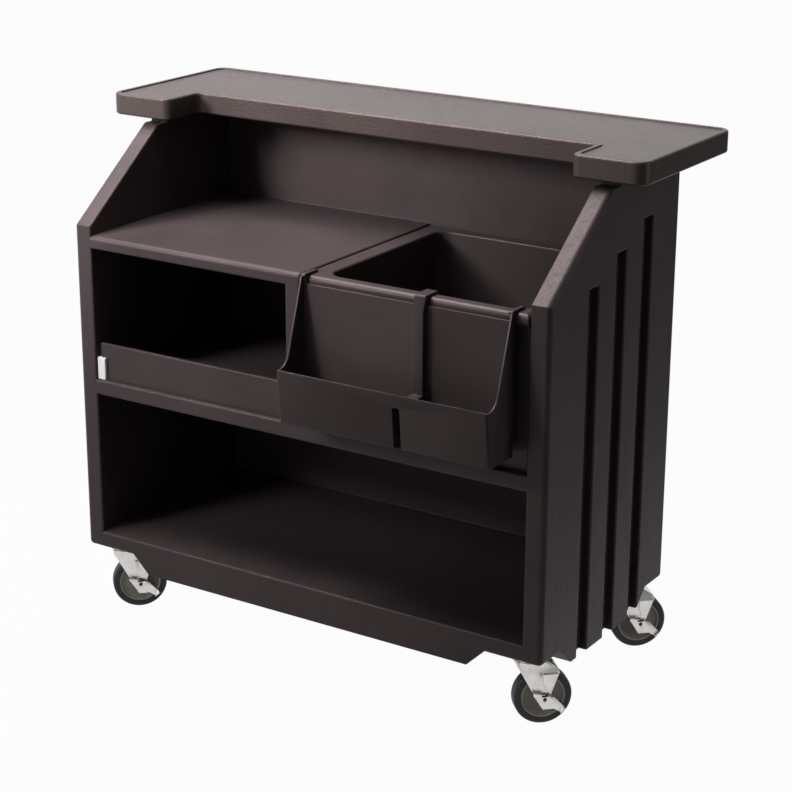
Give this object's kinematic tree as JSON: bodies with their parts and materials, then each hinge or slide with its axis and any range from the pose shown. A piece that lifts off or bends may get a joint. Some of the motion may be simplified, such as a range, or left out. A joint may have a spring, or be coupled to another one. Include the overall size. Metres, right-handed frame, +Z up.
{
  "type": "portable bar",
  "caption": "Portable moulded bar with a notched top, work deck, drop-in ice bin with drain, hook-on speed rail, open bays and braked swivel casters.",
  "frame": {"origin": "centre of the bounding box, on the floor", "axes": "+X along the bar, +Y towards the guests, +Z up"},
  "size_m": [1.372, 0.762, 1.194],
  "materials": {
    "body_plastic": "satin, fine pebble grain",
    "top_plastic": "satin, fine pebble grain",
    "bin_plastic": "satin",
    "rail_plastic": "satin",
    "guide_plastic": "satin",
    "drain_plastic": "satin",
    "gasket_rubber": "matte",
    "valve_metal": "polished",
    "tread_rubber": "matte",
    "hub_plastic": "satin",
    "bushing_brass": "satin",
    "brake_metal": "zinc plated",
    "fastener_steel": "zinc plated",
    "caster_metal": "zinc plated"
  },
  "bodies": {
    "bar": {"body_shell": "body_plastic", "bar_top": "top_plastic", "bar_top_bolts": "fastener_steel", "ice_bin": "bin_plastic", "drain_gasket": "gasket_rubber", "drain_flange": "drain_plastic", "drain_locknut": "drain_plastic", "drain_valve_body": "drain_plastic", "fence_guides": "guide_plastic", "fence_guide_screws": "fastener_steel", "caster_bolts": "fastener_steel", "front_left_caster_top_plate": "caster_metal", "front_left_caster_kingpin": "caster_metal", "front_left_caster_swivel_race": "caster_metal", "front_right_caster_top_plate": "caster_metal", "front_right_caster_kingpin": "caster_metal", "front_right_caster_swivel_race": "caster_metal", "rear_left_caster_top_plate": "caster_metal", "rear_left_caster_kingpin": "caster_metal", "rear_left_caster_swivel_race": "caster_metal", "rear_right_caster_top_plate": "caster_metal", "rear_right_caster_kingpin": "caster_metal", "rear_right_caster_swivel_race": "caster_metal"},
    "front_left_yoke": {"front_left_caster_fork": "caster_metal", "front_left_caster_axle": "caster_metal", "front_left_caster_axle_nut": "caster_metal"},
    "front_left_wheel": {"front_left_caster_hub": "hub_plastic", "front_left_caster_tread": "tread_rubber", "front_left_caster_bushing": "bushing_brass"},
    "front_left_brake": {"front_left_caster_brake_lever": "brake_metal"},
    "front_right_yoke": {"front_right_caster_fork": "caster_metal", "front_right_caster_axle": "caster_metal", "front_right_caster_axle_nut": "caster_metal"},
    "front_right_wheel": {"front_right_caster_hub": "hub_plastic", "front_right_caster_tread": "tread_rubber", "front_right_caster_bushing": "bushing_brass"},
    "front_right_brake": {"front_right_caster_brake_lever": "brake_metal"},
    "rear_left_yoke": {"rear_left_caster_fork": "caster_metal", "rear_left_caster_axle": "caster_metal", "rear_left_caster_axle_nut": "caster_metal"},
    "rear_left_wheel": {"rear_left_caster_hub": "hub_plastic", "rear_left_caster_tread": "tread_rubber", "rear_left_caster_bushing": "bushing_brass"},
    "rear_left_brake": {"rear_left_caster_brake_lever": "brake_metal"},
    "rear_right_yoke": {"rear_right_caster_fork": "caster_metal", "rear_right_caster_axle": "caster_metal", "rear_right_caster_axle_nut": "caster_metal"},
    "rear_right_wheel": {"rear_right_caster_hub": "hub_plastic", "rear_right_caster_tread": "tread_rubber", "rear_right_caster_bushing": "bushing_brass"},
    "rear_right_brake": {"rear_right_caster_brake_lever": "brake_metal"},
    "speed_rail": {"speed_rail": "rail_plastic"},
    "bottle_fence": {"bottle_fence": "bin_plastic"},
    "drain_valve_handle": {"drain_valve_ball": "valve_metal", "drain_valve_lever": "valve_metal"}
  },
  "joints": [
    {"name": "front_left_swivel", "type": "hinge", "parent": "bar", "child": "front_left_yoke", "pos_m": [-0.547, -0.212, 0.156], "axis": [0, 0, 1], "continuous": true},
    {"name": "front_left_roll", "type": "hinge", "parent": "front_left_yoke", "child": "front_left_wheel", "pos_m": [-0.52542, -0.19116, 0.0635], "axis": [-0.6947, 0.7193, 0], "continuous": true},
    {"name": "front_left_brake_press", "type": "hinge", "parent": "front_left_yoke", "child": "front_left_brake", "pos_m": [-0.52542, -0.19116, 0.0635], "axis": [-0.6947, 0.7193, 0], "range_deg": [0, 18]},
    {"name": "front_right_swivel", "type": "hinge", "parent": "bar", "child": "front_right_yoke", "pos_m": [0.547, -0.212, 0.156], "axis": [0, 0, 1], "continuous": true},
    {"name": "front_right_roll", "type": "hinge", "parent": "front_right_yoke", "child": "front_right_wheel", "pos_m": [0.56858, -0.19116, 0.0635], "axis": [-0.6947, 0.7193, 0], "continuous": true},
    {"name": "front_right_brake_press", "type": "hinge", "parent": "front_right_yoke", "child": "front_right_brake", "pos_m": [0.56858, -0.19116, 0.0635], "axis": [-0.6947, 0.7193, 0], "range_deg": [0, 18]},
    {"name": "rear_left_swivel", "type": "hinge", "parent": "bar", "child": "rear_left_yoke", "pos_m": [-0.547, 0.238, 0.156], "axis": [0, 0, 1], "continuous": true},
    {"name": "rear_left_roll", "type": "hinge", "parent": "rear_left_yoke", "child": "rear_left_wheel", "pos_m": [-0.52542, 0.25884, 0.0635], "axis": [-0.6947, 0.7193, 0], "continuous": true},
    {"name": "rear_left_brake_press", "type": "hinge", "parent": "rear_left_yoke", "child": "rear_left_brake", "pos_m": [-0.52542, 0.25884, 0.0635], "axis": [-0.6947, 0.7193, 0], "range_deg": [0, 18]},
    {"name": "rear_right_swivel", "type": "hinge", "parent": "bar", "child": "rear_right_yoke", "pos_m": [0.547, 0.238, 0.156], "axis": [0, 0, 1], "continuous": true},
    {"name": "rear_right_roll", "type": "hinge", "parent": "rear_right_yoke", "child": "rear_right_wheel", "pos_m": [0.56858, 0.25884, 0.0635], "axis": [-0.6947, 0.7193, 0], "continuous": true},
    {"name": "rear_right_brake_press", "type": "hinge", "parent": "rear_right_yoke", "child": "rear_right_brake", "pos_m": [0.56858, 0.25884, 0.0635], "axis": [-0.6947, 0.7193, 0], "range_deg": [0, 18]},
    {"name": "drain_lever_turn", "type": "hinge", "parent": "bar", "child": "drain_valve_handle", "pos_m": [0.4593, 0.148, 0.48745], "axis": [0, 1, 0], "range_deg": [0, 90]},
    {"name": "speed_rail_lift", "type": "slide", "parent": "bar", "child": "speed_rail", "axis": [0, 0, 1], "range_m": [0, 0.06]},
    {"name": "bottle_fence_lift", "type": "slide", "parent": "bar", "child": "bottle_fence", "axis": [0, 0, 1], "range_m": [0, 0.09]}
  ]
}
